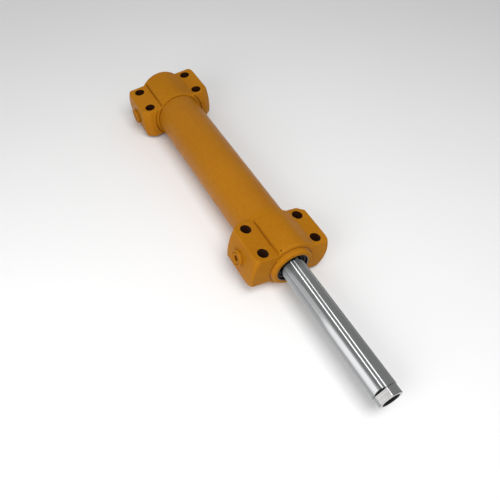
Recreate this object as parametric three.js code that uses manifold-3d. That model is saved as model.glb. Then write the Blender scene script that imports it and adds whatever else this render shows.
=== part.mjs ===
// A double-acting hydraulic cylinder with a flanged head at each end of its tube.
//
// Millimetres. +X runs from the closed end towards the rod's end, +Z is up with the
// cylinder lying on the round cores of its two heads, and the origin is the centre of
// the closed end's flat face. The oil side of the front head holds a gland cartridge
// with the rod's seals; the piston carries its own seals and guide rings.
import * as THREE from "three";
import { mergeVertices } from "three/addons/utils/BufferGeometryUtils.js";
import Module from "manifold-3d";

// Driving dimensions
const BORE_R = 40;
const TUBE_R = 49;
const ROD_R = 22.5;
const STROKE_BACK = 250;
const STROKE_OUT = 50;
const GAP = 0.3;

// Heads: a round core with a lug on each side, four bolt holes through the lugs
const CORE_R = 51.5;
const CORE_ROUND = 4;
const LUG_LENGTH = 95;
const LUG_HALF_WIDTH = 79.5;
const LUG_HALF_HEIGHT = 34.5;
const LUG_DRAFT = 2.2;
const OUTER_CORNER = { along: 17, across: 8 };
const INNER_CORNER = { along: 11, across: 14 };
const BOLT_HOLE_R = 10.5;
const BOLT_ROW_SPACING = 61;
const BOLT_HALF_WIDTH = 57;
const REAR_LUG_X = 4;
const FRONT_LUG_X = 483;
const HEAD_CLOCK = (8.2 * Math.PI) / 180;

// Where the tube and the heads meet
const REAR_FACE_X = REAR_LUG_X + LUG_LENGTH;
const FRONT_FACE_X = FRONT_LUG_X + LUG_LENGTH;
const NECK_LENGTH = 10;
const NECK_R = 50.3;
const NECK_X = FRONT_LUG_X - NECK_LENGTH;
const REAR_SPIGOT_LENGTH = 7;
const FRONT_SPIGOT_LENGTH = 23;
const FRONT_SPIGOT_R = 42.7;
const REAR_POCKET_X = 38;
const OIL_BORE_R = 30;

// Ports in the lugs' side faces, on a faced boss, closed by flanged plugs
const PORT_FACE = LUG_HALF_WIDTH + 2.5;
const PORT_BOSS_R = 19;
const PORT_R = 13;
const PORT_DEPTH = 18;
const PORT_DRILL_R = 8;
const PLUG_FLANGE_R = 16;
const PLUG_FLANGE = 4.5;
const PLUG_WASHER = 1.5;
const PLUG_SHANK = 13;
const PLUG_HEX = 12;

// Gland cartridge and its seat in the front head
const GLAND_SEAT_R = 32;
const GLAND_X = FRONT_FACE_X - 74;
const GLAND_SHOULDER_X = FRONT_FACE_X - 28;
const GLAND_END_X = FRONT_FACE_X;
const GLAND_NOSE_R = 27.5;
const GLAND_BORE_R = 22.9;
const COLLAR_LENGTH = 10;
const COLLAR_BASE_R = 43;
const COLLAR_TIP_R = 42.5;
const SNAP_RING = { inner: 28, outer: 33.8, width: 2.3, gap: 12 };
const LOCK_SCREW = { r: 2.9, hex: 3, length: 18, x: FRONT_FACE_X - 5, angle: 124 };

// Piston and rod
const PISTON_LENGTH = 44;
const PISTON_R = 39.6;
const PISTON_X = REAR_FACE_X + REAR_SPIGOT_LENGTH + STROKE_BACK;
const ROD_SHOULDER_X = PISTON_X + PISTON_LENGTH;
const ROD_SPIGOT_R = 17;
const NUT = { across: 50, width: 22 };
const ROD_END_X = 867;
const ROD_TIP = { length: 16, r: 21.5, across_flats: 36, flat_angle: 134.8 };
const SOCKET = { r: 14, mouth_r: 16.3, depth: 46 };

// Fineness of the round parts
const CORE_SIDES = 44;
const ROD_SIDES = 32;
const HOLE_SIDES = 20;

const wasm = await Module();
wasm.setup();

const cylinder = new THREE.Group();
const rad = (degrees) => (degrees * Math.PI) / 180;

const PAINT = { color: 0xb06f17, roughness: 0.38, metalness: 0.0 };
const CHROME = { color: 0xc9cbce, roughness: 0.18, metalness: 1.0 };
const STEEL = { color: 0x6d7074, roughness: 0.45, metalness: 1.0 };
const IRON = { color: 0x34363a, roughness: 0.55, metalness: 0.9 };
const RUBBER = { color: 0x17181a, roughness: 0.7, metalness: 0.0 };
const POLYURETHANE = { color: 0x1d4f7c, roughness: 0.5, metalness: 0.0 };
const BRONZE_PTFE = { color: 0x6b4a2c, roughness: 0.5, metalness: 0.1 };
const RESIN = { color: 0x5a3320, roughness: 0.6, metalness: 0.0 };

// Adds one sub-part to the cylinder.
function add(name, geometry, look) {
  const mesh = new THREE.Mesh(geometry, new THREE.MeshStandardMaterial(look));
  mesh.name = name;
  cylinder.add(mesh);
  return mesh;
}

// A solid turned about X from a closed outline of [x, radius] points.
function turned(outline, sides = CORE_SIDES) {
  const points = [...outline, outline[0]].map(([x, r]) => new THREE.Vector2(r, x));
  const lathe = new THREE.LatheGeometry(points, sides);
  lathe.rotateZ(-Math.PI / 2);
  lathe.rotateX(Math.PI / sides);
  return lathe;
}

// A plain round bar or drill between two places on X.
function bar(x0, x1, r, sides = CORE_SIDES) {
  return turned([[x0, 0], [x0, r], [x1, r], [x1, 0]], sides);
}

// A ring of plain rectangular section.
function band(x0, x1, inner, outer, sides = CORE_SIDES) {
  return turned([[x0, inner], [x0, outer], [x1, outer], [x1, inner]], sides);
}

// A ring of six-sided section, for an O-ring or a seal with rounded edges.
function roundedBand(x0, x1, inner, outer, sides = CORE_SIDES) {
  const middle = (inner + outer) / 2;
  const shoulder = (x1 - x0) / 4;
  return turned([
    [x0, middle],
    [x0 + shoulder, outer],
    [x1 - shoulder, outer],
    [x1, middle],
    [x1 - shoulder, inner],
    [x0 + shoulder, inner],
  ], sides);
}

// A flat ring with a gap in it, its gap centred at the given angle about X.
function splitRing(x0, { inner, outer, width, gap }, angle, sides = CORE_SIDES) {
  const half = gap / (inner + outer);
  const shape = new THREE.Shape();
  shape.absarc(0, 0, outer, half, 2 * Math.PI - half, false);
  shape.absarc(0, 0, inner, 2 * Math.PI - half, half, true);
  const ring = new THREE.ExtrudeGeometry(shape, {
    depth: width,
    bevelEnabled: false,
    curveSegments: sides / 2,
  });
  ring.rotateY(Math.PI / 2);
  ring.rotateX(angle);
  ring.translate(x0, 0, 0);
  return ring;
}

// A round hole or pin along Y, from y0 to y1, in a head's own frame.
function crossBar(x, y0, y1, r, sides = HOLE_SIDES) {
  const pin = bar(y0, y1, r, sides);
  pin.rotateZ(Math.PI / 2);
  pin.translate(x, 0, 0);
  return pin;
}

// A hexagonal bar along X.
function hexBar(x0, x1, across) {
  return bar(x0, x1, across / Math.sqrt(3), 6);
}

function solidOf(geometry) {
  const bare = geometry.clone();
  bare.deleteAttribute("normal");
  bare.deleteAttribute("uv");
  const merged = mergeVertices(bare, 1e-4);
  return new wasm.Manifold(new wasm.Mesh({
    numProp: 3,
    vertProperties: merged.attributes.position.array,
    triVerts: new Uint32Array(merged.index.array),
  }));
}

function geometryOf(solid) {
  const mesh = solid.getMesh();
  const geometry = new THREE.BufferGeometry();
  const points = new THREE.BufferAttribute(new Float32Array(mesh.vertProperties), 3);
  geometry.setAttribute("position", points);
  geometry.setIndex(new THREE.BufferAttribute(new Uint32Array(mesh.triVerts), 1));
  geometry.computeVertexNormals();
  return geometry;
}

// The first geometries joined, less the second ones.
function carved(joined, cuts) {
  let solid = joined.map(solidOf).reduce((a, b) => a.add(b));
  for (const cut of cuts) solid = solid.subtract(solidOf(cut));
  return geometryOf(solid);
}

// The two lugs as one slab. Its sides have casting draft both ways from the middle
// plane. Its corners are cut off, wide and shallow at the outer end and steeper at the
// tube's end; `outward` is +1 or -1 for the side that faces away from the tube.
function lugSlab(x0, outward) {
  const middle = x0 + LUG_LENGTH / 2;
  const half = LUG_LENGTH / 2;
  const wide = LUG_HALF_WIDTH;
  const shape = new THREE.Shape();
  shape.moveTo(half, -(wide - OUTER_CORNER.across));
  shape.lineTo(half, wide - OUTER_CORNER.across);
  shape.lineTo(half - OUTER_CORNER.along, wide);
  shape.lineTo(-(half - INNER_CORNER.along), wide);
  shape.lineTo(-half, wide - INNER_CORNER.across);
  shape.lineTo(-half, -(wide - INNER_CORNER.across));
  shape.lineTo(-(half - INNER_CORNER.along), -wide);
  shape.lineTo(half - OUTER_CORNER.along, -wide);
  shape.closePath();
  const seam = 1;
  const slab = new THREE.ExtrudeGeometry(shape, {
    depth: seam,
    bevelThickness: LUG_HALF_HEIGHT - seam / 2,
    bevelSize: LUG_DRAFT,
    bevelSegments: 1,
  });
  slab.translate(0, 0, -seam / 2);
  if (outward < 0) slab.rotateZ(Math.PI);
  slab.translate(middle, 0, 0);
  return slab;
}

// The four bolt holes of a head.
function boltHoles(x0) {
  const middle = x0 + LUG_LENGTH / 2;
  const holes = [];
  for (const along of [-1, 1]) {
    for (const side of [-1, 1]) {
      const hole = new THREE.CylinderGeometry(
        BOLT_HOLE_R, BOLT_HOLE_R, 3 * LUG_HALF_HEIGHT, HOLE_SIDES);
      hole.rotateX(Math.PI / 2);
      hole.translate(middle + (along * BOLT_ROW_SPACING) / 2, side * BOLT_HALF_WIDTH, 0);
      holes.push(hole);
    }
  }
  return holes;
}

// The tapped port and the oil way from it to the head's bore.
function portWay(x) {
  return [
    crossBar(x, -PORT_FACE - 5, PORT_DEPTH - PORT_FACE, PORT_R),
    crossBar(x, PORT_DEPTH - PORT_FACE - 2, -OIL_BORE_R + 6, PORT_DRILL_R),
  ];
}

// The lugs of a head, with the faced boss round its port and room for the tube's end.
function headBody(x0, outward) {
  const middle = x0 + LUG_LENGTH / 2;
  const boss = crossBar(middle, -PORT_FACE, PORT_DEPTH - PORT_FACE, PORT_BOSS_R);
  const room = bar(REAR_FACE_X, FRONT_LUG_X, TUBE_R + GAP);
  return carved([lugSlab(x0, outward), boss], [room]);
}

function rearHead() {
  const spigotEnd = REAR_FACE_X + REAR_SPIGOT_LENGTH;
  const core = turned([
    [0, 0],
    [0, CORE_R - CORE_ROUND],
    [CORE_ROUND * 0.3, CORE_R - CORE_ROUND * 0.3],
    [CORE_ROUND, CORE_R],
    [REAR_FACE_X, CORE_R],
    [REAR_FACE_X, BORE_R - 0.4],
    [spigotEnd, BORE_R - 0.4],
    [spigotEnd, 0],
  ]);
  const cuts = [
    bar(REAR_POCKET_X, spigotEnd + 5, OIL_BORE_R, ROD_SIDES),
    ...boltHoles(REAR_LUG_X),
    ...portWay(REAR_LUG_X + LUG_LENGTH / 2),
  ];
  const head = add("rear_head", carved([core, headBody(REAR_LUG_X, -1)], cuts), PAINT);
  head.rotation.x = HEAD_CLOCK;
}

function frontHead() {
  const spigotX = NECK_X - FRONT_SPIGOT_LENGTH;
  const grooveX = spigotX + 5;
  const collarTip = FRONT_FACE_X + COLLAR_LENGTH;
  const core = turned([
    [spigotX, 0],
    [spigotX, FRONT_SPIGOT_R - 1],
    [spigotX + 1, FRONT_SPIGOT_R],
    [grooveX, FRONT_SPIGOT_R],
    [grooveX, FRONT_SPIGOT_R - 3.4],
    [grooveX + 6.4, FRONT_SPIGOT_R - 3.4],
    [grooveX + 6.4, FRONT_SPIGOT_R],
    [NECK_X, FRONT_SPIGOT_R],
    [NECK_X, NECK_R],
    [FRONT_LUG_X - 2, NECK_R],
    [FRONT_LUG_X, CORE_R],
    [FRONT_FACE_X - CORE_ROUND, CORE_R],
    [FRONT_FACE_X - CORE_ROUND * 0.3, CORE_R - CORE_ROUND * 0.3],
    [FRONT_FACE_X, CORE_R - CORE_ROUND],
    [FRONT_FACE_X, COLLAR_BASE_R],
    [collarTip - 3, COLLAR_TIP_R],
    [collarTip, COLLAR_TIP_R - 3],
    [collarTip, 0],
  ]);
  const snapGrooveX = GLAND_END_X + 0.1;
  const lockHole = radialBar(LOCK_SCREW.x, GLAND_SEAT_R - 6, CORE_R + 5, 3.2);
  const cuts = [
    bar(spigotX - 5, GLAND_SHOULDER_X, OIL_BORE_R, ROD_SIDES),
    bar(GLAND_SHOULDER_X - GAP, collarTip + 5, GLAND_SEAT_R, ROD_SIDES),
    bar(snapGrooveX, snapGrooveX + SNAP_RING.width + 0.6, SNAP_RING.outer + GAP, ROD_SIDES),
    lockHole,
    ...boltHoles(FRONT_LUG_X),
    ...portWay(FRONT_LUG_X + LUG_LENGTH / 2),
  ];
  const head = add("front_head", carved([core, headBody(FRONT_LUG_X, 1)], cuts), PAINT);
  head.rotation.x = -HEAD_CLOCK;

  add("front_head_o_ring",
    roundedBand(grooveX + 0.3, grooveX + 4, FRONT_SPIGOT_R - 3.0, FRONT_SPIGOT_R), RUBBER);
  add("front_head_backup_ring",
    band(grooveX + 4.3, grooveX + 6.1, FRONT_SPIGOT_R - 3.0, FRONT_SPIGOT_R), RESIN);
}

// A pin or hole that points out from the front head's axis at the lock screw's angle.
function radialBar(x, r0, r1, r) {
  const pin = bar(r0, r1, r, HOLE_SIDES / 2);
  pin.rotateZ(Math.PI / 2);
  pin.rotateX(rad(LOCK_SCREW.angle));
  pin.translate(x, 0, 0);
  return pin;
}

// The plug and its washer in a head's port.
function portPlug(prefix, x, clock) {
  const face = -PORT_FACE - GAP;
  const under = face - PLUG_WASHER - GAP;
  const outside = under - PLUG_FLANGE;
  const flange = turned([
    [outside, 0],
    [outside, PLUG_FLANGE_R - 1],
    [outside + 1, PLUG_FLANGE_R],
    [under, PLUG_FLANGE_R],
    [under, PORT_R - 0.5],
    [face + PLUG_SHANK, PORT_R - 0.5],
    [face + PLUG_SHANK, 0],
  ], HOLE_SIDES);
  const socket = hexBar(outside - 2, outside + 9, PLUG_HEX);
  const washer = band(face - PLUG_WASHER, face, PORT_R + 0.2, PLUG_FLANGE_R, HOLE_SIDES);
  for (const [name, geometry, look] of [
    [prefix + "_port_plug", carved([flange], [socket]), PAINT],
    [prefix + "_plug_washer", washer, PAINT],
  ]) {
    geometry.rotateZ(Math.PI / 2);
    geometry.translate(x, 0, 0);
    add(name, geometry, look).rotation.x = clock;
  }
}

function barrelTube() {
  const x0 = REAR_FACE_X + GAP;
  const x1 = NECK_X - GAP;
  const counterboreX = NECK_X - FRONT_SPIGOT_LENGTH - 3;
  const counterboreR = FRONT_SPIGOT_R + GAP;
  add("barrel_tube", turned([
    [x0, BORE_R],
    [x0, TUBE_R - 1],
    [x0 + 1, TUBE_R],
    [x1 - 1, TUBE_R],
    [x1, TUBE_R - 1],
    [x1, counterboreR],
    [counterboreX, counterboreR],
    [counterboreX - 3, BORE_R],
  ]), PAINT);
}

// The gland cartridge with the rod's guide rings and seals in its grooves, listed from
// the oil side outwards.
function gland() {
  const grooves = [
    { name: "rod_guide_ring_rear", x: 6, width: 10, r: 25.4, look: RESIN, plain: true },
    { name: "rod_guide_ring_front", x: 32, width: 10, r: 25.4, look: RESIN, plain: true },
    { name: "rod_buffer_seal", x: 46, width: 6, r: 27.6, look: BRONZE_PTFE },
    { name: "rod_seal", x: 55, width: 8, r: 27.6, look: POLYURETHANE },
  ];
  const wiperX = GLAND_END_X - 7;
  const inside = [];
  for (const { x, width, r } of grooves) {
    inside.push([GLAND_X + x, GLAND_BORE_R], [GLAND_X + x, r]);
    inside.push([GLAND_X + x + width, r], [GLAND_X + x + width, GLAND_BORE_R]);
  }
  const ringX = GLAND_SHOULDER_X + 8;
  const flangeR = GLAND_SEAT_R - GAP;
  add("gland", turned([
    [GLAND_X, GLAND_BORE_R],
    ...inside,
    [wiperX, GLAND_BORE_R],
    [wiperX, 27],
    [GLAND_END_X, 27],
    [GLAND_END_X, flangeR - 1],
    [GLAND_END_X - 1, flangeR],
    [ringX + 6.4, flangeR],
    [ringX + 6.4, flangeR - 3],
    [ringX, flangeR - 3],
    [ringX, flangeR],
    [GLAND_SHOULDER_X, flangeR],
    [GLAND_SHOULDER_X, OIL_BORE_R - GAP],
    [GLAND_SHOULDER_X - 7, OIL_BORE_R - GAP],
    [GLAND_SHOULDER_X - 7, GLAND_NOSE_R],
    [GLAND_X, GLAND_NOSE_R],
  ].reverse(), ROD_SIDES), IRON);

  for (const { name, x, width, r, look, plain } of grooves) {
    const shape = plain ? band : roundedBand;
    const x0 = GLAND_X + x;
    add(name, shape(x0 + GAP, x0 + width - GAP, ROD_R + 0.3, r - 0.3, ROD_SIDES), look);
  }
  add("rod_wiper", turned([
    [wiperX + GAP, ROD_R + 0.6],
    [wiperX + GAP, 26.7],
    [GLAND_END_X, 26.7],
    [GLAND_END_X + 1, 25],
    [GLAND_END_X + 2.5, 24],
    [GLAND_END_X + 2.5, ROD_R + 0.3],
    [GLAND_END_X, ROD_R + 0.5],
  ], ROD_SIDES), RUBBER);
  add("gland_o_ring",
    roundedBand(ringX + 0.3, ringX + 4, flangeR - 2.6, flangeR, ROD_SIDES), RUBBER);
  add("gland_backup_ring",
    band(ringX + 4.3, ringX + 6.1, flangeR - 2.6, flangeR, ROD_SIDES), RESIN);
  add("gland_snap_ring", splitRing(GLAND_END_X + 0.4, SNAP_RING, rad(60)), IRON);

  const screwTop = CORE_R - 1.2;
  const screw = radialBar(LOCK_SCREW.x, screwTop - LOCK_SCREW.length, screwTop, LOCK_SCREW.r);
  const key = hexBar(screwTop - 3, screwTop + 2, LOCK_SCREW.hex);
  key.rotateZ(Math.PI / 2);
  key.rotateX(rad(LOCK_SCREW.angle));
  key.translate(LOCK_SCREW.x, 0, 0);
  add("gland_lock_screw", carved([screw], [key]), IRON).rotation.x = -HEAD_CLOCK;
}

function piston() {
  const seal = { x: 17, width: 10, r: 33.3 };
  const guides = [4, PISTON_LENGTH - 12];
  const guide = { width: 8, r: 37.1 };
  const oRing = { x: 20, width: 4, r: 19.8 };
  const outside = [];
  for (const { x, width, r } of [
    { x: guides[0], ...guide },
    seal,
    { x: guides[1], ...guide },
  ]) {
    outside.push([PISTON_X + x, PISTON_R], [PISTON_X + x, r]);
    outside.push([PISTON_X + x + width, r], [PISTON_X + x + width, PISTON_R]);
  }
  const boreR = ROD_SPIGOT_R + GAP;
  const end = ROD_SHOULDER_X - GAP;
  add("piston", turned([
    [PISTON_X, boreR],
    [PISTON_X, PISTON_R - 1.5],
    [PISTON_X + 1.5, PISTON_R],
    ...outside,
    [end - 1.5, PISTON_R],
    [end, PISTON_R - 1.5],
    [end, boreR],
    [PISTON_X + oRing.x + oRing.width, boreR],
    [PISTON_X + oRing.x + oRing.width, oRing.r],
    [PISTON_X + oRing.x, oRing.r],
    [PISTON_X + oRing.x, boreR],
  ], ROD_SIDES), IRON);
  const ringR = BORE_R - 0.3;
  const sealX = PISTON_X + seal.x + GAP;
  const sealEnd = sealX + seal.width - 2 * GAP;
  add("piston_seal", band(sealX, sealEnd, 37.2, ringR, ROD_SIDES), BRONZE_PTFE);
  add("piston_seal_energizer",
    roundedBand(sealX + 0.5, sealEnd - 0.5, seal.r + 0.3, 36.8, ROD_SIDES), RUBBER);
  for (const [index, place] of ["rear", "front"].entries()) {
    const x = PISTON_X + guides[index] + GAP;
    const section = { inner: guide.r + 0.3, outer: ringR, width: guide.width - 0.6, gap: 3 };
    add("piston_wear_ring_" + place, splitRing(x, section, rad(90 + 180 * index)), RESIN);
  }
  const oRingX = PISTON_X + oRing.x + GAP;
  add("piston_bore_o_ring",
    roundedBand(oRingX, oRingX + oRing.width - 2 * GAP, boreR, oRing.r - 0.2, ROD_SIDES),
    RUBBER);
  const nut = hexBar(PISTON_X - GAP - NUT.width, PISTON_X - GAP, NUT.across);
  const nutBore = bar(PISTON_X - NUT.width - 5, PISTON_X + 5, boreR, ROD_SIDES);
  add("piston_nut", carved([nut], [nutBore]), STEEL);
}

// One wrench flat's cut, with its steep run-out, on the side of +Z.
function flatCut() {
  const depth = ROD_TIP.across_flats / 2;
  const start = ROD_END_X - ROD_TIP.length;
  const side = new THREE.Shape([
    new THREE.Vector2(start - 0.8, ROD_R + 0.5),
    new THREE.Vector2(start, depth),
    new THREE.Vector2(ROD_END_X + 2, depth),
    new THREE.Vector2(ROD_END_X + 2, ROD_R + 5),
    new THREE.Vector2(start - 0.8, ROD_R + 5),
  ]);
  const cut = new THREE.ExtrudeGeometry(side, { depth: 4 * ROD_R, bevelEnabled: false });
  cut.translate(0, 0, -2 * ROD_R);
  cut.rotateX(Math.PI / 2);
  return cut;
}

function pistonRod() {
  const spigotEnd = PISTON_X - GAP - NUT.width - 3;
  const tipX = ROD_END_X - ROD_TIP.length;
  const rod = turned([
    [spigotEnd, 0],
    [spigotEnd, ROD_SPIGOT_R - 1.5],
    [spigotEnd + 1.5, ROD_SPIGOT_R],
    [ROD_SHOULDER_X, ROD_SPIGOT_R],
    [ROD_SHOULDER_X, ROD_R - 1],
    [ROD_SHOULDER_X + 1, ROD_R],
    [tipX - 0.5, ROD_R],
    [tipX, ROD_TIP.r],
    [ROD_END_X - 1, ROD_TIP.r],
    [ROD_END_X, ROD_TIP.r - 1],
    [ROD_END_X, SOCKET.mouth_r],
    [ROD_END_X - SOCKET.mouth_r + SOCKET.r, SOCKET.r],
    [ROD_END_X - SOCKET.depth, SOCKET.r],
    [ROD_END_X - SOCKET.depth - SOCKET.r / 2, 0],
  ], ROD_SIDES);
  const angle = rad(ROD_TIP.flat_angle - 90);
  const cuts = [0, Math.PI].map((turn) => flatCut().rotateX(angle + turn));
  add("piston_rod", carved([rod], cuts), CHROME);
}

barrelTube();
rearHead();
frontHead();
portPlug("rear", REAR_LUG_X + LUG_LENGTH / 2, HEAD_CLOCK);
portPlug("front", FRONT_LUG_X + LUG_LENGTH / 2, -HEAD_CLOCK);
gland();
piston();
pistonRod();

export default cylinder;
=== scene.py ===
"""A hydraulic cylinder with a lugged head at each end, on a pale studio floor.

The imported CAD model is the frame: +X runs towards the rod's end and +Z is up. The cast
heads, the tube, the plugs and washers, the gland, its wiper, snap ring and lock screw, and
the rod are rebuilt here with their real roundings, grooves, bores and threads. The other
pieces keep their CAD shape. Outlines are in millimetres.
"""

import math

import bmesh
import bpy
from mathutils import Matrix, Vector


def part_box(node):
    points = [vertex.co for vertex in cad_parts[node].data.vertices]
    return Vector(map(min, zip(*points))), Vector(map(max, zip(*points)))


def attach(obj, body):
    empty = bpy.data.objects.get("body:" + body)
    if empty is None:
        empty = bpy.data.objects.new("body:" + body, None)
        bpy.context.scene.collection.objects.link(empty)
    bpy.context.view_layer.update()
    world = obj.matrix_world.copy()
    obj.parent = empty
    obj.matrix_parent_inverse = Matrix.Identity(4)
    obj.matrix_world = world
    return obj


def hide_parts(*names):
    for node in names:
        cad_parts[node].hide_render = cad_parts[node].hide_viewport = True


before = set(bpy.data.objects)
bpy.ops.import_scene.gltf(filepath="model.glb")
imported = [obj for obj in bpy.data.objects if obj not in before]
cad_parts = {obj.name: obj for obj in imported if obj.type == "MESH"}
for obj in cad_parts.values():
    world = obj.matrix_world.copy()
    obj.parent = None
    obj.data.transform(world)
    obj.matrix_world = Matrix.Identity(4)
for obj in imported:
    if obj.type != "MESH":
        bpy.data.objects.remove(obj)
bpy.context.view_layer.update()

MM = 0.001


def node_box(name):
    """The lowest and highest corner of a CAD node, in millimetres."""
    low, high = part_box(name)
    return low / MM, high / MM


# Places and radii that the frame gives
REAR_END_X = node_box("rear_head")[1].x
FRONT_LOW, FRONT_HIGH = node_box("front_head")
TUBE_LOW, TUBE_HIGH = node_box("barrel_tube")
ROD_LOW, ROD_HIGH = node_box("piston_rod")
GLAND_LOW, GLAND_HIGH = node_box("gland")
PISTON_END_X = node_box("piston")[1].x
TUBE_R = (TUBE_HIGH.z - TUBE_LOW.z) / 2
ROD_R = 22.5
BORE_R = 40

# The heads, in their own frame: lugs level, ports towards -Y
CLOCK = math.radians(8.2)
CORE_R = 51.5
CORE_ROUND = 4
LUG_LENGTH = 95
LUG_HALF_WIDTH = 79.5
LUG_HALF_HEIGHT = 34.5
LUG_DRAFT = 2.2
OUTER_CORNER = (17, 8)
INNER_CORNER = (11, 14)
RAMP_START = math.radians(63)
WALL_Y = -33.2
BOLT_HOLE_R = 10.5
BOLT_ROW = 61 / 2
BOLT_Y = 57
PORT_FACE = LUG_HALF_WIDTH + 2.5
PORT_R = 13
PORT_DEPTH = 18
BOSS_R = 19
OIL_BORE_R = 30
RING_GAP = 0.3

# The rear head
REAR_SPIGOT = 7
REAR_POCKET_X = 38
REAR_FACE_X = REAR_END_X - REAR_SPIGOT
REAR_LUG_X = REAR_FACE_X - LUG_LENGTH
REAR_MIDDLE_X = REAR_LUG_X + LUG_LENGTH / 2
SPIGOT_GAP = 0.4
STOP_GAP = 0.4
RING_LINE_R = 55.8

# The front head
COLLAR_LENGTH = 10
COLLAR_R = 42.5
COLLAR_ROUND = 5
NECK_LENGTH = 10
FRONT_SPIGOT_R = 42.7
FRONT_RING_FLOOR_R = 39.4
FRONT_END_X = FRONT_HIGH.x
FRONT_FACE_X = FRONT_END_X - COLLAR_LENGTH
FRONT_LUG_X = FRONT_FACE_X - LUG_LENGTH
FRONT_MIDDLE_X = FRONT_LUG_X + LUG_LENGTH / 2
OIL_BORE_END_X = FRONT_FACE_X - 26
SNAP_GROOVE_R = 34.1
MOUTH_DEPTH = 1.5
MOUTH_EDGE = 1.2

# The gland and its lock screw
GLAND_SEAT_R = 32
GLAND_OUTER_R = GLAND_SEAT_R - 0.3
GLAND_BORE_R = 22.9
GLAND_NOSE_R = 27.5
SHOULDER_X = GLAND_LOW.x + 46
LOCK_X = FRONT_FACE_X - 5
LOCK_ANGLE = math.radians(124)
LOCK_HOLE_R = 3.2
LOCK_MOUTH_R = 1.5
LOCK_SCREW_R = 2.9
LOCK_SCREW_LENGTH = 18

# The port plugs
FLANGE_R = 16
FLANGE_THICKNESS = 4.5
SHANK_R = 12.5
SHANK_LENGTH = 13
WASHER_GAP = 0.3
WASHER_THICKNESS = 1.5

# The rod
SPIGOT_R = 17
TIP_LENGTH = 16
TIP_R = 21.5
FLAT_HALF = 18
FLAT_ANGLE = math.radians(134.8 - 90)
SOCKET_DEPTH = 46
THREAD_R = 14
THREAD_PITCH = 2.0
THREAD_DEPTH = 1.1
THREAD_START = 2.6
THREAD_LENGTH = 34
ROWS_PER_PITCH = 6

# Fineness
ROUND_SIDES = 128
ROD_SIDES = 144
HOLE_SIDES = 64
SCREW_SIDES = 32
CAST_VOXEL = 0.95 * MM
CAST_SMOOTHING = 4

FLOOR_Z = -CORE_R * MM


# ---------------------------------------------------------------- mesh tools

def new_piece(name, points, faces):
    """A mesh object from points in millimetres."""
    mesh = bpy.data.meshes.new(name)
    mesh.from_pydata([Vector(p) * MM for p in points], [], faces)
    bm = bmesh.new()
    bm.from_mesh(mesh)
    bmesh.ops.remove_doubles(bm, verts=bm.verts, dist=1e-7)
    bmesh.ops.recalc_face_normals(bm, faces=bm.faces)
    bm.to_mesh(mesh)
    bm.free()
    return linked(name, mesh)


def linked(name, data):
    """A new object in the scene."""
    thing = bpy.data.objects.new(name, data)
    bpy.context.scene.collection.objects.link(thing)
    return thing


def turned(name, outline, sides=ROUND_SIDES, ripple=None):
    """A solid turned about X from an outline of (x, radius).

    An outline that starts and ends on the axis makes a solid bar, any other one a ring.
    `ripple(x, radius, angle)` adds to the radius, for a thread.
    """
    points = []
    for x, r in outline:
        for k in range(sides):
            a = 2 * math.pi * k / sides
            radius = r + (ripple(x, r, a) if ripple else 0)
            points.append((x, radius * math.cos(a), radius * math.sin(a)))
    on_axis = outline[0][1] == 0 and outline[-1][1] == 0
    rows = len(outline) - 1 if on_axis else len(outline)
    faces = []
    for i in range(rows):
        j = (i + 1) % len(outline)
        for k in range(sides):
            m = (k + 1) % sides
            faces.append((i * sides + k, i * sides + m, j * sides + m, j * sides + k))
    return clean(new_piece(name, points, faces))


def clean(piece):
    """Drops collapsed faces, which an outline on the axis or a cut can leave."""
    bm = bmesh.new()
    bm.from_mesh(piece.data)
    bmesh.ops.remove_doubles(bm, verts=bm.verts, dist=5e-7)
    bmesh.ops.dissolve_degenerate(bm, edges=bm.edges, dist=1e-7)
    bmesh.ops.recalc_face_normals(bm, faces=bm.faces)
    bm.to_mesh(piece.data)
    bm.free()
    return piece


def lofted(name, rings):
    """A closed solid through rings of the same number of points."""
    count = len(rings[0])
    points = [p for ring in rings for p in ring]
    faces = [tuple(range(count)), tuple(range(len(points) - count, len(points)))]
    for i in range(len(rings) - 1):
        for k in range(count):
            m = (k + 1) % count
            faces.append((i * count + k, i * count + m,
                          (i + 1) * count + m, (i + 1) * count + k))
    return new_piece(name, points, faces)


def arc(cx, cr, radius, start, end, steps=6):
    """Points of a rounding in an outline, by angle from +X towards +r, in degrees."""
    out = []
    for k in range(steps + 1):
        a = math.radians(start + (end - start) * k / steps)
        out.append((cx + radius * math.cos(a), cr + radius * math.sin(a)))
    return out


def bore(x0, x1, r, sides=ROUND_SIDES):
    """A plain bar about X, to cut a bore with."""
    return turned("bore", [(x0, 0), (x0, r), (x1, r), (x1, 0)], sides)


def ring_groove(first, last, floor_r, mouth_r):
    """The outline of the groove that holds the rings from `first` to `last`."""
    x0 = node_box(first)[0].x - RING_GAP
    x1 = node_box(last)[1].x + RING_GAP
    return [(x0, mouth_r), (x0, floor_r), (x1, floor_r), (x1, mouth_r)]


def settle(piece):
    """Applies a piece's modifiers."""
    graph = bpy.context.evaluated_depsgraph_get()
    mesh = bpy.data.meshes.new_from_object(piece.evaluated_get(graph))
    piece.modifiers.clear()
    old = piece.data
    piece.data = mesh
    bpy.data.meshes.remove(old)


def cut(piece, *cutters):
    """Takes the cutters out of the piece, one after the other."""
    for cutter in cutters:
        boolean = piece.modifiers.new("cut", "BOOLEAN")
        boolean.operation = "DIFFERENCE"
        boolean.solver = "MANIFOLD"
        boolean.object = cutter
        settle(piece)
        bpy.data.objects.remove(cutter)


def joined(name, *parts):
    """One mesh of several solids, which may overlap."""
    bm = bmesh.new()
    for part in parts:
        bm.from_mesh(part.data)
        bpy.data.objects.remove(part)
    mesh = bpy.data.meshes.new(name)
    bm.to_mesh(mesh)
    bm.free()
    return linked(name, mesh)


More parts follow.
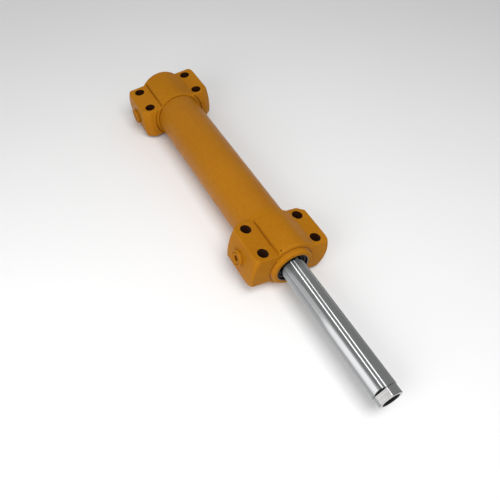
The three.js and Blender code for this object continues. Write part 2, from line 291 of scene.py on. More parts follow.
def cast(piece):
    """Melts overlapping solids into one casting with rounded edges and fillets."""
    remesh = piece.modifiers.new("skin", "REMESH")
    remesh.mode = "VOXEL"
    remesh.voxel_size = CAST_VOXEL
    smooth = piece.modifiers.new("round", "SMOOTH")
    smooth.factor = 0.5
    smooth.iterations = CAST_SMOOTHING
    settle(piece)


ALONG_Y = Matrix.Rotation(math.pi / 2, 4, "Z")
ALONG_Z = Matrix.Rotation(-math.pi / 2, 4, "Y")


def about_x(angle):
    return Matrix.Rotation(angle, 4, "X")


def shift(x=0, y=0, z=0):
    return Matrix.Translation(Vector((x, y, z)) * MM)


def moved(piece, matrix):
    """Moves the points of a piece, not its origin."""
    piece.data.transform(matrix)
    return piece


def handed_in(piece, body, looks, node, sharp=35):
    """Gives a finished mesh its shading, materials and body, and hides the CAD node it
    replaces.
    """
    piece.data.shade_smooth()
    piece.data.set_sharp_from_angle(angle=math.radians(sharp))
    piece.data.materials.clear()
    for look in looks:
        piece.data.materials.append(look)
    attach(piece, body)
    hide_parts(node)


# ---------------------------------------------------------------- materials

class Finish:
    """A Principled material with procedural helpers."""

    def __init__(self, name, **constants):
        self.material = bpy.data.materials.new(name)
        self.material.use_nodes = True
        self.tree = self.material.node_tree
        self.shader = self.tree.nodes["Principled BSDF"]
        for key, value in constants.items():
            self.shader.inputs[key.replace("_", " ")].default_value = value
        self.where = self.tree.nodes.new("ShaderNodeTexCoord").outputs["Object"]

    def node(self, kind, **inputs):
        """A node of this kind with its inputs fed."""
        node = self.tree.nodes.new(kind)
        for key, value in inputs.items():
            self.feed(node.inputs[key.replace("_", " ")], value)
        return node

    def feed(self, socket, value):
        """Links an output to a socket, or sets the socket to a constant."""
        if isinstance(value, bpy.types.NodeSocket):
            self.tree.links.new(value, socket)
        else:
            socket.default_value = value

    def noise(self, scale, detail=3.0, roughness=0.5, stretch=(1, 1, 1)):
        """Noise with `scale` features to the metre."""
        place = self.node("ShaderNodeMapping", Vector=self.where, Scale=stretch)
        noise = self.node("ShaderNodeTexNoise", Vector=place.outputs[0], Scale=scale,
                          Detail=detail, Roughness=roughness)
        return noise.outputs["Fac"]

    def spread(self, value, low, high, to_low=0.0, to_high=1.0):
        """Maps low..high of a value to to_low..to_high, clamped."""
        node = self.node("ShaderNodeMapRange")
        for index, v in enumerate((value, low, high, to_low, to_high)):
            self.feed(node.inputs[index], v)
        return node.outputs[0]

    def blend(self, share, a, b):
        """Colour a turning to b."""
        node = self.tree.nodes.new("ShaderNodeMix")
        node.data_type = "RGBA"
        self.feed(node.inputs[0], share)
        self.feed(node.inputs[6], a)
        self.feed(node.inputs[7], b)
        return node.outputs[2]

    def bump(self, height, strength, distance, under=None):
        """A bump of `distance` millimetres, on top of another one if given."""
        node = self.node("ShaderNodeBump", Height=height, Strength=strength,
                         Distance=distance * MM)
        if under:
            self.feed(node.inputs["Normal"], under)
        return node.outputs[0]

    def edges(self):
        """Above 0.5 on outer edges and below it in corners."""
        return self.tree.nodes.new("ShaderNodeNewGeometry").outputs["Pointiness"]

    def set(self, **sockets):
        """Feeds the shader and gives the finished material."""
        for key, value in sockets.items():
            self.feed(self.shader.inputs[key.replace("_", " ")], value)
        return self.material


def rgb(r, g, b):
    return (r, g, b, 1.0)


PAINT = rgb(0.425, 0.164, 0.006)
PAINT_DEEP = rgb(0.37, 0.137, 0.004)
PAINT_PALE = rgb(0.48, 0.196, 0.014)
# painted shade for corners and creases
PAINT_CREASE_SHADE = rgb(0.20, 0.056, 0.001)


def paint(name, cast_skin):
    """Satin machine enamel; on castings it lies over a sand-cast skin.

    It is cloudy and mottled, pale where it is thin on edges, and darkened in corners and
    creases as painted shade.
    """
    look = Finish(name, IOR=1.45, Specular_IOR_Level=0.05 if cast_skin else 0.13)
    cloud = look.spread(look.noise(9, 4), 0.35, 0.65, 0.0, 1.0 if cast_skin else 0.4)
    body = look.blend(cloud, PAINT_DEEP, PAINT)
    mottle = look.spread(look.noise(140, 5, 0.6), 0.45, 0.75, 0.0, 0.35)
    body = look.blend(mottle, body, PAINT_PALE)
    peel = look.noise(520, 2)
    normal = look.bump(peel, 0.10, 0.5)
    gloss = look.spread(look.noise(60, 4), 0.3, 0.7, 0.30, 0.46)
    if cast_skin:
        edges = look.edges()
        thin = look.spread(edges, 0.515, 0.57, 0.0, 0.5)
        body = look.blend(thin, body, PAINT_PALE)
        # Painted shade: corners and creases, where pointiness is low, are darkened.
        crease_shade = look.spread(edges, 0.488, 0.44, 0.0, 0.85)
        body = look.blend(crease_shade, body, PAINT_CREASE_SHADE)
        normal = look.bump(look.noise(170, 5, 0.6), 0.22, 1.0, normal)
    return look.set(Base_Color=body, Roughness=gloss, Normal=normal)


# Where the chrome beside the gland is darkened as painted shade
GLAND_SHADE_START, GLAND_SHADE_END = FRONT_END_X - 3, FRONT_END_X + 20


def chrome():
    """Hard chrome, ground round and polished, darkened beside the gland as painted shade.
    """
    look = Finish("rod_chrome", Metallic=1.0)
    feed_marks = look.node("ShaderNodeTexWave", Vector=look.where, Scale=93, Distortion=1.3,
                           Detail=2, Detail_Scale=1.5).outputs["Fac"]
    scratches = look.noise(1, 2, stretch=(1900, 40, 40))
    ground = look.blend(feed_marks, rgb(0.375, 0.38, 0.385), rgb(0.48, 0.485, 0.49))
    along = look.node("ShaderNodeSeparateXYZ", Vector=look.where).outputs[0]
    # Painted shade: the chrome fades to near black towards the gland.
    gland_shade = look.spread(along, GLAND_SHADE_START * MM, GLAND_SHADE_END * MM, 0.75, 0.0)
    tone = look.blend(gland_shade, ground, rgb(0.10, 0.10, 0.105))
    gloss = look.spread(look.noise(30, 3), 0.3, 0.7, 0.09, 0.15)
    return look.set(Base_Color=tone, Roughness=gloss,
                    Normal=look.bump(scratches, 0.10, 0.02))


def machined(name, base, low, high, stretch, metal=1.0, sheen=0.5):
    """A machined surface of roughness low..high, its tool marks across `stretch`."""
    look = Finish(name, Metallic=metal, Specular_IOR_Level=sheen)
    marks = look.noise(1, 3, stretch=stretch)
    shade = look.spread(marks, 0.3, 0.7)
    dark = rgb(*[c * 0.72 for c in base])
    tone = look.blend(shade, dark, rgb(*base))
    stain = look.spread(look.noise(80, 4), 0.5, 0.75, 0.0, 0.35)
    tone = look.blend(stain, tone, rgb(*[c * 0.55 for c in base]))
    gloss = look.spread(look.noise(200, 3), 0.3, 0.7, low, high)
    return look.set(Base_Color=tone, Roughness=gloss,
                    Normal=look.bump(marks, 0.25, 0.06))


def moulded(name, base, low, high):
    """Rubber or plastic of roughness low..high, with a fine skin and a little dust."""
    look = Finish(name)
    dust = look.spread(look.noise(90, 5), 0.45, 0.8, 0.0, 0.35)
    tone = look.blend(dust, rgb(*base), rgb(*[0.02 + 1.6 * c for c in base]))
    gloss = look.spread(look.noise(150, 3), 0.3, 0.7, low, high)
    return look.set(Base_Color=tone, Roughness=gloss,
                    Normal=look.bump(look.noise(700, 2), 0.2, 0.1))


LATHE_MARKS = (1500, 20, 20)
DRILL_MARKS = (20, 20, 900)
CAST_PAINT = paint("cast_paint", True)
TUBE_PAINT = paint("tube_paint", False)
CHROME = chrome()
TURNED_STEEL = machined("turned_steel", (0.60, 0.585, 0.58), 0.2, 0.34, LATHE_MARKS)
# Bare iron for the holes and bores, made near black as painted shade
SHADED_BORE = machined("shaded_bore", (0.040, 0.014, 0.006), 0.5, 0.7, DRILL_MARKS,
                     metal=0.0, sheen=0.02)
# Steel for the socket and the flats' run-out, made near black as painted shade
DARK_STEEL_SHADE = machined("dark_steel_shade", (0.05, 0.05, 0.05), 0.5, 0.7, LATHE_MARKS)
BLACK_OXIDE = machined("black_oxide", (0.040, 0.040, 0.043), 0.38, 0.55, LATHE_MARKS,
                       metal=0.0, sheen=0.15)
GREY_IRON = machined("grey_iron", (0.16, 0.16, 0.165), 0.4, 0.6, LATHE_MARKS)
NUT_STEEL = machined("nut_steel", (0.33, 0.33, 0.33), 0.35, 0.5, LATHE_MARKS)
RUBBER = moulded("rubber", (0.008, 0.008, 0.009), 0.5, 0.7)
POLYURETHANE = moulded("polyurethane", (0.012, 0.075, 0.2), 0.35, 0.5)
BRONZE_PTFE = moulded("bronze_ptfe", (0.15, 0.07, 0.025), 0.4, 0.55)
RESIN = moulded("guide_resin", (0.10, 0.035, 0.014), 0.45, 0.6)


# ---------------------------------------------------------------- the heads

def lug_ring(height, outward):
    """The lugs' outline at a height of -1..1 between their lower and upper faces."""
    rise = 1 - height * height
    draft = LUG_DRAFT * rise
    half = LUG_LENGTH / 2 + draft
    wide = LUG_HALF_WIDTH + draft
    outer = 1 - 0.75 * rise
    ox, oy = OUTER_CORNER[0] * outer, OUTER_CORNER[1] * outer
    ix, iy = INNER_CORNER
    side = [(half, wide - oy), (half - 0.14 * ox, wide - 0.50 * oy),
            (half - 0.50 * ox, wide - 0.14 * oy), (half - ox, wide),
            (ix - half, wide), (-half, wide - iy)]
    both = side + [(x, -y) for x, y in reversed(side)]
    z = height * LUG_HALF_HEIGHT
    return [(outward * x, y, z) for x, y in both]


def lugs(middle, outward):
    """The two lugs as one slab with crowned sides; outward is -1 or 1 along X."""
    heights = [k / 8 for k in range(-8, 9)]
    slab = lofted("slab", [lug_ring(h, outward) for h in heights])
    return moved(slab, shift(x=middle))


def mirrored_bars(section, x0, x1):
    """Two bars along X with a section of (y, z), above and below the axis."""
    upper = lofted("bar", [[(x, y, z) for y, z in section] for x in (x0, x1)])
    lower = lofted("bar", [[(x, y, -z) for y, z in section] for x in (x0, x1)])
    return joined("bars", upper, lower)


def dome_ramp(x0, x1):
    """The cast blend from the dome down to the lugs on the side away from the port."""
    y0, z0 = CORE_R * math.cos(RAMP_START), CORE_R * math.sin(RAMP_START)
    y1 = (CORE_R - LUG_HALF_HEIGHT * math.sin(RAMP_START)) / math.cos(RAMP_START)
    inside = LUG_HALF_HEIGHT - 5
    return mirrored_bars([(y0, z0), (y1, LUG_HALF_HEIGHT), (y1, inside), (y0 - 5, inside)],
                         x0, x1)


def faced_foot(x0, x1):
    """What facing the port-side lugs takes off the dome: a low wall along its foot."""
    top = LUG_HALF_HEIGHT
    return mirrored_bars([(-46, top - 3), (WALL_Y - 0.3, top - 3), (WALL_Y, top + 1),
                          (WALL_Y + 1.1, top + 8), (-40, top + 14), (-46, top + 6)],
                         x0, x1)


def tool_line(x0, x1):
    """The line that the facing cutter leaves in the corner of that wall."""
    top = LUG_HALF_HEIGHT
    floor = top - 0.35
    return mirrored_bars([(WALL_Y - 2.1, top + 1.5), (WALL_Y - 1.6, floor),
                          (WALL_Y - 0.3, floor), (WALL_Y + 0.2, top + 1.5)], x0, x1)


def port_boss(x):
    """The low round boss at the port, flared into the lug's side."""
    flare = BOSS_R + 1
    outline = [(-PORT_FACE, 0)] + arc(-PORT_FACE + 1, BOSS_R - 1, 1, 180, 90) + [
        (-PORT_FACE + 6, flare), (-PORT_FACE + 20, flare), (-PORT_FACE + 20, 0)]
    return moved(turned("boss", outline, HOLE_SIDES), shift(x=x) @ ALONG_Y)


def port_cut(x):
    port = bore(-PORT_FACE - 6, -PORT_FACE + PORT_DEPTH, PORT_R, HOLE_SIDES)
    return moved(port, shift(x=x) @ ALONG_Y)


def bolt_places(middle):
    """Where the four bolt holes stand, as (x, y)."""
    return [(middle + along, y)
            for along in (-BOLT_ROW, BOLT_ROW) for y in (-BOLT_Y, BOLT_Y)]


def bolt_cuts(middle):
    """The four bolt holes, with a broken edge at each end."""
    edge, top = 0.7, LUG_HALF_HEIGHT
    wide = BOLT_HOLE_R + edge
    outline = [(-top - 6, 0), (-top - 6, wide), (-top, wide), (edge - top, BOLT_HOLE_R),
               (top - edge, BOLT_HOLE_R), (top, wide), (top + 6, wide), (top + 6, 0)]
    for x, y in bolt_places(middle):
        yield moved(turned("hole", outline, HOLE_SIDES), shift(x, y) @ ALONG_Z)


PAINTED, SHADED_BARE, BRIGHT = range(3)


def finished_head(head, middle, clock, node):
    """Paint outside, bare iron darkened as painted shade in holes and bores, a bright
    mouth, then the clocking.
    """
    clean(head)
    looks = []
    for face in head.data.polygons:
        x, y, z = face.center / MM
        r = math.hypot(y, z)
        in_hole = abs(z) < LUG_HALF_HEIGHT - 0.5 and any(
            math.hypot(x - hole_x, y - hole_y) < BOLT_HOLE_R + 0.1
            for hole_x, hole_y in bolt_places(middle))
        at_mouth = x > FRONT_END_X - MOUTH_DEPTH - 0.1
        if at_mouth and r < GLAND_SEAT_R + MOUTH_EDGE + 0.05:
            looks.append(BRIGHT)
        # Holes and bores: bare iron, darkened as painted shade
        elif in_hole or (r < SNAP_GROOVE_R + 0.1 and x > 1 and not at_mouth):
            looks.append(SHADED_BARE)
        else:
            looks.append(PAINTED)
    moved(head, about_x(clock))
    handed_in(head, "barrel", [CAST_PAINT, SHADED_BORE, NUT_STEEL], node)
    head.data.polygons.foreach_set("material_index", looks)


def rear_head():
    """The closed end's head, with the line round the tube's seat on its front face."""
    middle, face = REAR_MIDDLE_X, REAR_FACE_X
    spigot_r = BORE_R - SPIGOT_GAP
    core = turned("core", [(0, 0)]
                  + arc(CORE_ROUND, CORE_R - CORE_ROUND, CORE_ROUND, 180, 90)
                  + [(face, CORE_R), (face, spigot_r), (REAR_END_X, spigot_r),
                     (REAR_END_X, 0)])
    cut(core, faced_foot(REAR_LUG_X + 2, face + 5))
    head = joined("rear_head_casting", core, lugs(middle, -1), port_boss(middle),
                  dome_ramp(REAR_LUG_X + 10, face - 2))
    cast(head)
    room_r = TUBE_R + 0.35
    tube_room = turned("room", [(face, BORE_R - 0.2), (face, room_r),
                                (FRONT_LUG_X, room_r), (FRONT_LUG_X, BORE_R - 0.2)])
    piston_stop = bore(REAR_END_X - STOP_GAP, REAR_END_X + 5, BORE_R)
    ring_line = turned("ring_line", [(face - 0.6, RING_LINE_R),
                                     (face - 0.6, RING_LINE_R + 0.8),
                                     (face + 4, RING_LINE_R + 1.8),
                                     (face + 4, RING_LINE_R - 1),
                                     (face - 0.2, RING_LINE_R - 1)])
    cut(head, tube_room, piston_stop, ring_line,
        bore(REAR_POCKET_X, REAR_END_X + 5, OIL_BORE_R), port_cut(middle),
        tool_line(REAR_LUG_X + 3, face + 5), *bolt_cuts(middle))
    finished_head(head, middle, CLOCK, "rear_head")


def front_head():
    """The rod end's head, with its neck, its collar and the gland's seat."""
    middle = FRONT_MIDDLE_X
    neck = FRONT_LUG_X - NECK_LENGTH
    face, tip = FRONT_FACE_X, FRONT_END_X
    core = turned("core", [
        (FRONT_LOW.x, 0), (FRONT_LOW.x, FRONT_SPIGOT_R), (neck, FRONT_SPIGOT_R),
        (neck, TUBE_R - 0.5), (neck + 3, TUBE_R + 0.4), (FRONT_LUG_X, TUBE_R + 1.0),
        (FRONT_LUG_X + 20, CORE_R)]
        + arc(face - CORE_ROUND, CORE_R - CORE_ROUND, CORE_ROUND, 90, 0)
        + [(face, COLLAR_R)]
        + arc(tip - COLLAR_ROUND, COLLAR_R - COLLAR_ROUND, COLLAR_ROUND, 90, 0)
        + [(tip, 0)])
    cut(core, faced_foot(FRONT_LUG_X + 2, face + 0.5))
    head = joined("front_head_casting", core, lugs(middle, 1), port_boss(middle),
                  dome_ramp(FRONT_LUG_X + 3, face - 2))
    cast(head)
    seat = turned("seat", [
        (SHOULDER_X - 0.3, 0), (SHOULDER_X - 0.3, GLAND_SEAT_R),
        (face + 0.1, GLAND_SEAT_R), (face + 0.1, SNAP_GROOVE_R),
        (face + 3.0, SNAP_GROOVE_R), (face + 3.0, GLAND_SEAT_R),
        (tip - MOUTH_DEPTH, GLAND_SEAT_R), (tip, GLAND_SEAT_R + MOUTH_EDGE),
        (tip + 4, GLAND_SEAT_R + 4), (tip + 4, 0)])
    crease = turned("crease", [(face - 0.4, COLLAR_R + 0.4), (face - 0.4, COLLAR_R + 1.2),
                               (face + 2.5, COLLAR_R + 2.4), (face + 2.5, COLLAR_R + 0.1)])
    skin = CORE_R - 1.1
    lock = turned("lock", [(26, 0), (26, LOCK_HOLE_R), (skin, LOCK_HOLE_R),
                           (skin, LOCK_MOUTH_R), (CORE_R + 6, LOCK_MOUTH_R),
                           (CORE_R + 6, 0)], HOLE_SIDES)
    moved(lock, shift(x=LOCK_X) @ about_x(LOCK_ANGLE) @ ALONG_Y)
    ring_cut = turned("groove", ring_groove("front_head_o_ring", "front_head_backup_ring",
                                            FRONT_RING_FLOOR_R, FRONT_SPIGOT_R + 3.3))
    cut(head, bore(FRONT_LOW.x - 5, OIL_BORE_END_X, OIL_BORE_R), seat, lock, crease,
        ring_cut, port_cut(middle), tool_line(FRONT_LUG_X + 8, face + 5),
        *bolt_cuts(middle))
    finished_head(head, middle, -CLOCK, "front_head")
    # The photo's rod does not mirror the head
    head.visible_glossy = False


def port_plug(prefix, x, clock):
    """A flanged plug with a hexagon socket and a ring groove, over its washer."""
    face = -PORT_FACE - WASHER_GAP
    under = face - WASHER_GAP - WASHER_THICKNESS
    out = under - FLANGE_THICKNESS
    plug = turned(prefix + "_port_plug_detail", [
        (out + 0.8, 0), (out + 0.8, 7.8), (out, 8.8), (out, 10.4), (out + 1.1, 10.8),
        (out + 1.1, 12.2), (out, 12.8)]
        + arc(out + 1.2, FLANGE_R - 1.2, 1.2, 180, 90)
        + arc(under - 0.6, FLANGE_R - 0.6, 0.6, 90, 0)
        + [(under, SHANK_R), (face + SHANK_LENGTH, SHANK_R), (face + SHANK_LENGTH, 0)],
        HOLE_SIDES)
    cut(plug, turned("key", [(out - 3, 0), (out - 3, 7.6), (out + 0.7, 7.0),
                             (out + 1.3, 6.3), (out + 5, 6.3), (out + 6, 0)], 6))
    half = WASHER_THICKNESS / 2
    washer = turned(prefix + "_plug_washer_detail",
                    arc(face - half, 14.9, half, 180, 0)
                    + [(face, 13.2), (face - WASHER_THICKNESS, 13.2)], HOLE_SIDES)
    place = about_x(clock) @ shift(x=x) @ ALONG_Y
    handed_in(moved(plug, place), "barrel", [CAST_PAINT],
              prefix + "_port_plug", 28)
    handed_in(moved(washer, place), "barrel", [CAST_PAINT],
              prefix + "_plug_washer")


def barrel_tube():
    """The honed tube, its rear end turned down to a narrow groove against the head."""
    x0, x1 = TUBE_LOW.x, TUBE_HIGH.x
    seat, seat_r = FRONT_LOW.x - 3, FRONT_SPIGOT_R + RING_GAP
    tube = turned("barrel_tube_detail", [
        (x0, BORE_R), (x0, TUBE_R - 2.4), (x0 + 1.3, TUBE_R - 2.4)]
        + arc(x0 + 3.4, TUBE_R - 1.8, 1.8, 170, 90)
        + [(x1 + 3, TUBE_R), (x1 + 3, TUBE_R - 0.8), (x1, TUBE_R - 0.8), (x1, seat_r),
           (seat, seat_r), (seat - 3, BORE_R)])
    handed_in(tube, "barrel", [TUBE_PAINT], "barrel_tube")


# ---------------------------------------------------------------- gland end

def gland():
    """The gland with its ring grooves, and the rod wiper in its open end."""
    x0, x1 = GLAND_LOW.x, GLAND_HIGH.x
    inside = []
    for ring in ("rod_guide_ring_rear", "rod_guide_ring_front", "rod_buffer_seal",
                 "rod_seal"):
        floor_r = node_box(ring)[1].z + RING_GAP
        inside += ring_groove(ring, ring, floor_r, GLAND_BORE_R)
    outside = ring_groove("gland_o_ring", "gland_backup_ring", GLAND_OUTER_R - 3,
                          GLAND_OUTER_R)
    body = turned("gland_detail", [(x0, GLAND_BORE_R)] + inside + [
        (x1 - 7, GLAND_BORE_R), (x1 - 7, 27), (x1 - 0.4, 27), (x1, 27.4), (x1, 29),
        (x1 - 0.8, 29.3), (x1 - 0.8, 30.2), (x1, 30.5), (x1, GLAND_OUTER_R - 0.8),
        (x1 - 0.8, GLAND_OUTER_R)] + outside[::-1] + [
        (SHOULDER_X, GLAND_OUTER_R), (SHOULDER_X, 29.7), (SHOULDER_X - 7, 29.7),
        (SHOULDER_X - 7, GLAND_NOSE_R), (x0, GLAND_NOSE_R)])
    handed_in(body, "barrel", [BLACK_OXIDE], "gland")
    wiper = turned("rod_wiper_detail", [
        (x1 - 6.7, 23.1), (x1 - 6.7, 26.7), (x1 - 0.3, 26.7)]
        + arc(x1 + 0.2, 26.1, 0.5, 150, 60, 3)
        + [(x1 + 0.9, 25), (x1 + 2.2, 24.1)]
        + arc(x1 + 2.1, 23.4, 0.5, 60, -120, 5)
        + [(x1 + 0.6, 23.3), (x1 - 2, 23.5)])
    handed_in(wiper, "barrel", [RUBBER], "rod_wiper")


def snap_ring():
    """A split ring of rounded section with an eyed lug at each end of its gap."""
    low, high = node_box("gland_snap_ring")
    inner, outer, corner = 28.0, 33.8, 0.3
    middle, half_gap, lug = math.radians(60), math.radians(12), math.radians(14)
    lug_height, eye_r, eye_from_axis = 2.2, 1.2, 28.6
    rings, steps = [], 90
    for k in range(steps + 1):
        a = half_gap + (2 * math.pi - 2 * half_gap) * k / steps
        from_end = min(a - half_gap, 2 * math.pi - half_gap - a)
        inside = inner - lug_height * max(0.0, 1 - from_end / lug) ** 0.5
        section = [(low.x, inside + corner), (low.x + corner, inside),
                   (high.x - corner, inside), (high.x, inside + corner),
                   (high.x, outer - corner), (high.x - corner, outer),
                   (low.x + corner, outer), (low.x, outer - corner)]
        turn = a + middle
        rings.append([(x, r * math.cos(turn), r * math.sin(turn)) for x, r in section])
    ring = lofted("gland_snap_ring_detail", rings)
    for side in (-1, 1):
        turn = middle + side * (half_gap + math.radians(4.5))
        eye = bore(low.x - 2, high.x + 2, eye_r, 24)
        cut(ring, moved(eye, shift(y=eye_from_axis * math.cos(turn),
                                   z=eye_from_axis * math.sin(turn))))
    handed_in(ring, "barrel", [BLACK_OXIDE], "gland_snap_ring")


def lock_screw():
    """A set screw with a hexagon socket, just below the casting's skin."""
    top = CORE_R - 1.2
    bottom = top - LOCK_SCREW_LENGTH
    screw = turned("gland_lock_screw_detail", [
        (bottom, 0), (bottom, 2.0), (bottom + 1, LOCK_SCREW_R), (top - 0.5, LOCK_SCREW_R),
        (top, 2.4), (top, 0)], SCREW_SIDES)
    cut(screw, bore(top - 3, top + 2, 1.73, 6))
    moved(screw, about_x(-CLOCK) @ shift(x=LOCK_X) @ about_x(LOCK_ANGLE) @ ALONG_Y)
    handed_in(screw, "barrel", [BLACK_OXIDE], "gland_lock_screw", 28)


# ---------------------------------------------------------------- the rod

def flat_cut(turn):
    """A wrench flat's cut, with a sloped run-out."""
    start = ROD_HIGH.x - TIP_LENGTH
    side = [(start - 2.6, 40), (start - 2.5, ROD_R + 0.2), (start - 1.3, FLAT_HALF + 2.0),
            (start - 0.3, FLAT_HALF + 0.5), (start + 0.7, FLAT_HALF),
            (ROD_HIGH.x + 4, FLAT_HALF), (ROD_HIGH.x + 4, 40)]
    rings = [[(x, y, z) for x, z in side] for y in (-60, 60)]
    return moved(lofted("flat", rings), about_x(turn))


def thread(x, r, angle):
    """The socket's thread, as what it adds to the core radius."""
    if r != THREAD_R or x < ROD_HIGH.x - SOCKET_DEPTH + 1:
        return 0
    phase = (x / THREAD_PITCH + angle / (2 * math.pi)) % 1
    return THREAD_DEPTH * min(phase, 1 - phase) * 2


CHROMED, TURNED, IN_SHADE = range(3)


def piston_rod():
    """The rod with its piston spigot, turned tip, wrench flats and threaded socket."""
    end = ROD_HIGH.x
    tip = end - TIP_LENGTH
    shoulder = PISTON_END_X + 0.3
    outside = [
        (ROD_LOW.x, 0), (ROD_LOW.x, SPIGOT_R - 1.5), (ROD_LOW.x + 1.5, SPIGOT_R),
        (shoulder, SPIGOT_R), (shoulder, ROD_R - 1), (shoulder + 1, ROD_R),
        (tip - 0.8, ROD_R), (tip - 0.3, ROD_R - 0.3), (tip - 0.1, TIP_R - 0.2),
        (tip + 0.6, TIP_R - 0.2), (tip + 0.9, TIP_R), (end - 0.8, TIP_R),
        (end, TIP_R - 0.8), (end, 16.9), (end - 0.3, 16.5)]
    count = int(THREAD_LENGTH / THREAD_PITCH * ROWS_PER_PITCH)
    socket = [(end - THREAD_START - THREAD_LENGTH * k / count, THREAD_R)
              for k in range(count + 1)]
    deep = end - SOCKET_DEPTH
    rod = turned("piston_rod_detail", outside + socket + [(deep, THREAD_R), (deep - 8, 0)],
                 ROD_SIDES, ripple=thread)
    cut(rod, flat_cut(FLAT_ANGLE), flat_cut(FLAT_ANGLE + math.pi))
    handed_in(rod, "rod", [CHROME, TURNED_STEEL, DARK_STEEL_SHADE], "piston_rod",
              25)
    flat_way = Vector((0, -math.sin(FLAT_ANGLE), math.cos(FLAT_ANGLE)))
    for face in rod.data.polygons:
        x = face.center.x / MM
        r = math.hypot(face.center.y, face.center.z) / MM
        slope = abs(face.normal.dot(flat_way))
        on_flat = slope > 0.999 and x > tip
        run_out = abs(x - tip + 1) < 2 and abs(face.normal.x) > 0.25 and slope > 0.3
        in_socket = x > end - 60 and r < 16.4
        # Painted shade: the socket and the flats' run-out steps get the near-black steel.
        if in_socket or run_out:
            face.material_index = IN_SHADE
        elif on_flat or face.normal.x > 0.9 or x < shoulder + 0.5:
            face.material_index = TURNED
        else:
            face.material_index = CHROMED


# ---------------------------------------------------------------- hidden pieces

HIDDEN = {
    "front_head_o_ring": RUBBER, "gland_o_ring": RUBBER, "piston_bore_o_ring": RUBBER,
    "piston_seal_energizer": RUBBER,
    "front_head_backup_ring": RESIN, "gland_backup_ring": RESIN,
    "rod_guide_ring_rear": RESIN, "rod_guide_ring_front": RESIN,
    "piston_wear_ring_rear": RESIN, "piston_wear_ring_front": RESIN,
    "rod_buffer_seal": BRONZE_PTFE, "piston_seal": BRONZE_PTFE,
    "rod_seal": POLYURETHANE,
    "piston": GREY_IRON, "piston_nut": NUT_STEEL,
}


def hidden_pieces():
    """Finishes for the CAD nodes that stay as they are."""
    for name, look in HIDDEN.items():
        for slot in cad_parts[name].material_slots:
            slot.material = look


# ---------------------------------------------------------------- studio

CAMERA_AZIMUTH, CAMERA_ELEVATION, CAMERA_ROLL = map(math.radians, (55.70, 51.42, 6.13))
CAMERA_AIM = Vector((0.5172, -0.0493, 0.0))
CAMERA_DISTANCE = 0.941
CAMERA_LENS, CAMERA_SENSOR = 36.9, 36


def camera():
    """The viewing angle: round from -Y towards +X, above the floor, and a slight roll."""
    azimuth, elevation, roll = CAMERA_AZIMUTH, CAMERA_ELEVATION, CAMERA_ROLL
    back = Vector((math.sin(azimuth) * math.cos(elevation),
                   -math.cos(azimuth) * math.cos(elevation), math.sin(elevation)))
    level = Vector((math.cos(azimuth), math.sin(azimuth), 0))
    right = level * math.cos(roll) + back.cross(level) * math.sin(roll)
    up = back.cross(right)
    data = bpy.data.cameras.new("camera")
    data.lens = CAMERA_LENS
    data.sensor_width = CAMERA_SENSOR
    data.clip_start = 0.01
    eye = linked("camera", data)
    eye.matrix_world = Matrix.Translation(CAMERA_AIM + back * CAMERA_DISTANCE) @ Matrix(
        (right, up, back)).transposed().to_4x4()
    bpy.context.scene.camera = eye


def panel(name, place, rotation, size, power):
    """A rectangular area light, size in metres, power in watts."""
    data = bpy.data.lights.new(name, "AREA")
    data.shape = "RECTANGLE"
    data.size, data.size_y = size
    data.energy = power
    lamp = linked(name, data)
    lamp.location = place
    lamp.rotation_euler = rotation
    return lamp


def soft_light(name, place, aim, size, power):
    """A panel at `place` that faces `aim`."""
    away = Vector(aim) - Vector(place)
    return panel(name, place, away.to_track_quat("-Z", "Y").to_euler(), size, power)


def strip_light(name, start, end, width, power):
    """A long ceiling light from start to end, facing down."""
    start, end = Vector(start), Vector(end)
    along = end - start
    return panel(name, (start + end) / 2, (0, 0, math.atan2(along.y, along.x)),
                 (along.length, width), power)


FLOOR_REACH = 4000
FLOOR_SPLIT_X = 450


def floor_piece(name, x0, x1, look):
    """The floor from x0 to x1, as a staged piece."""
    reach = FLOOR_REACH
    floor = new_piece(name, [(x0, -reach, 0), (x1, -reach, 0), (x1, reach, 0),
                             (x0, reach, 0)], [(0, 1, 2, 3)])
    floor.location.z = FLOOR_Z
    floor.data.materials.append(look)
    return floor


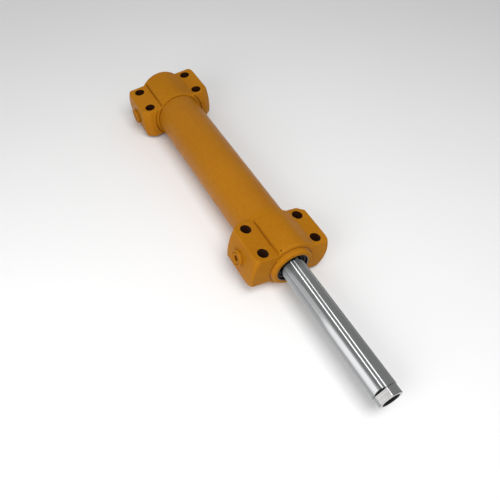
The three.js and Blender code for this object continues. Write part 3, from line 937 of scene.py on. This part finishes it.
def studio():
    """A pale floor, a soft overhead light, a fill, and what the rod mirrors.

    The rod mirrors ceiling strips and side panels that do not light the paint. The floor
    beside it is left out of its reflections, so the panels reach below it.
    """
    world = bpy.data.worlds.new("studio")
    world.use_nodes = True
    background = world.node_tree.nodes["Background"]
    background.inputs["Color"].default_value = rgb(1, 1, 1)
    background.inputs["Strength"].default_value = 0.38
    bpy.context.scene.world = world
    bpy.context.scene.view_settings.view_transform = "Standard"

    rod_end = Vector((ROD_HIGH.x * MM, 0, 0))
    mirrored = [
        strip_light("strip_far_rear", (-0.55, 0.72, 2.0), (-0.05, 0.46, 2.0), 0.18, 0.95),
        strip_light("strip_far", (-0.05, 0.46, 2.0), (0.60, 0.12, 2.0), 0.18, 1.7),
        strip_light("strip_near", (-0.55, -0.35, 2.0), (0.60, -0.98, 2.0), 0.22, 3.6),
        soft_light("side", (0.87, -1.35, 0.0), (0.87, 0, 0.0), (1.30, 1.32), 5.6),
        soft_light("side_wide", (0.75, -1.50, 0.40), (0.75, 0, 0.40), (1.9, 1.55), 4.8),
        soft_light("low", (0.30, -0.95, -0.80), (0.30, -0.95, 0), (2.2, 2.1), 6.1),
        soft_light("rod_end", rod_end + Vector((0.257, 0.175, -0.39)), rod_end,
                   (0.36, 0.36), 0.35),
    ]
    for lamp in mirrored:
        lamp.visible_diffuse = False
    fill = soft_light("fill", (1.05, -1.15, 0.80), (0.50, 0, 0), (0.9, 0.9), 9.5)
    fill.visible_glossy = False
    soft_light("overhead", (1.25, -0.05, 1.85), (0.5, 0, 0), (1.2, 1.2), 24)

    look = Finish("floor", Roughness=0.7)
    tone = look.blend(look.noise(3, 2), rgb(0.88, 0.88, 0.88), rgb(0.91, 0.91, 0.91))
    look.set(Base_Color=tone)
    floor_piece("floor", -FLOOR_REACH, FLOOR_SPLIT_X, look.material)
    by_rod = floor_piece("floor_by_rod", FLOOR_SPLIT_X, FLOOR_REACH + 1000, look.material)
    by_rod.visible_glossy = False


camera()
studio()
rear_head()
front_head()
barrel_tube()
port_plug("rear", REAR_MIDDLE_X, CLOCK)
port_plug("front", FRONT_MIDDLE_X, -CLOCK)
gland()
snap_ring()
lock_screw()
piston_rod()
hidden_pieces()
